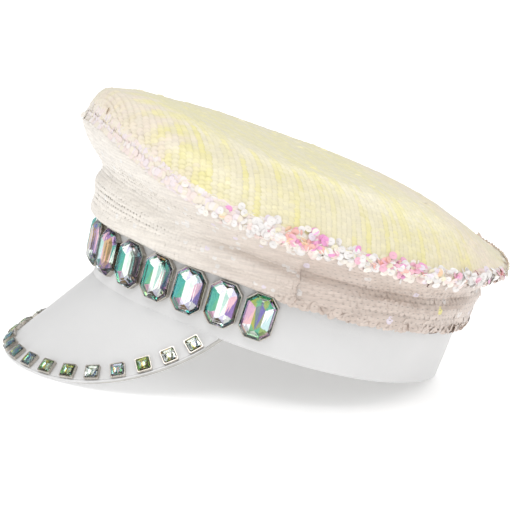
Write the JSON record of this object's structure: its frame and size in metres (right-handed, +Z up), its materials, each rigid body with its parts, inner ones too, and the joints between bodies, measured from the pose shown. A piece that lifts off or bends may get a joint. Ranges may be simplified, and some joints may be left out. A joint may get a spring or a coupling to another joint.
{
  "type": "festival captain hat",
  "caption": "Party captain's cap with a sequin crown, a smooth band, a steep visor and rows of faceted stones in metal cups.",
  "frame": {"origin": "centre of the overall box, at the level of the surface that the cap rests on", "axes": "+Z up as the cap rests on the tip of its visor and the back of its band, -Y towards the visor, +X towards the wearer's left"},
  "size_m": [0.2364, 0.2778, 0.1482],
  "materials": {
    "sequin_fabric": "small round iridescent sequins, pale yellow, cream and pink",
    "padding": "soft wadding",
    "lining": "smooth woven lining",
    "coated_fabric": "smooth white coated fabric, satin",
    "card": "plain card strip",
    "sweatband_tape": "woven tape",
    "visor_board": "flexible visor board",
    "faceted_stone": "faceted, mirror-backed, with an iridescent coating",
    "stone_metal": "thin bright pressed metal"
  },
  "bodies": {
    "root": {"band_cover": "coated_fabric", "band_stiffener": "card", "band_stone_01": "faceted_stone", "band_stone_02": "faceted_stone", "band_stone_03": "faceted_stone", "band_stone_04": "faceted_stone", "band_stone_05": "faceted_stone", "band_stone_06": "faceted_stone", "band_stone_07": "faceted_stone", "band_stone_08": "faceted_stone", "band_stone_09": "faceted_stone", "band_stone_10": "faceted_stone", "band_stone_11": "faceted_stone", "band_stone_12": "faceted_stone", "band_stone_cup_01": "stone_metal", "band_stone_cup_02": "stone_metal", "band_stone_cup_03": "stone_metal", "band_stone_cup_04": "stone_metal", "band_stone_cup_05": "stone_metal", "band_stone_cup_06": "stone_metal", "band_stone_cup_07": "stone_metal", "band_stone_cup_08": "stone_metal", "band_stone_cup_09": "stone_metal", "band_stone_cup_10": "stone_metal", "band_stone_cup_11": "stone_metal", "band_stone_cup_12": "stone_metal", "crown_lining_side": "lining", "crown_lining_top": "lining", "crown_padding_side": "padding", "crown_padding_top": "padding", "crown_side_back": "sequin_fabric", "crown_side_front": "sequin_fabric", "crown_top_panel": "sequin_fabric", "sweatband": "sweatband_tape", "visor_board": "visor_board", "visor_stone_01": "faceted_stone", "visor_stone_02": "faceted_stone", "visor_stone_03": "faceted_stone", "visor_stone_04": "faceted_stone", "visor_stone_05": "faceted_stone", "visor_stone_06": "faceted_stone", "visor_stone_07": "faceted_stone", "visor_stone_08": "faceted_stone", "visor_stone_09": "faceted_stone", "visor_stone_10": "faceted_stone", "visor_stone_11": "faceted_stone", "visor_stone_12": "faceted_stone", "visor_stone_13": "faceted_stone", "visor_stone_14": "faceted_stone", "visor_stone_15": "faceted_stone", "visor_stone_16": "faceted_stone", "visor_stone_17": "faceted_stone", "visor_stone_18": "faceted_stone", "visor_stone_cups": "stone_metal", "visor_top_cover": "coated_fabric", "visor_under_cover": "coated_fabric"}
  },
  "joints": []
}
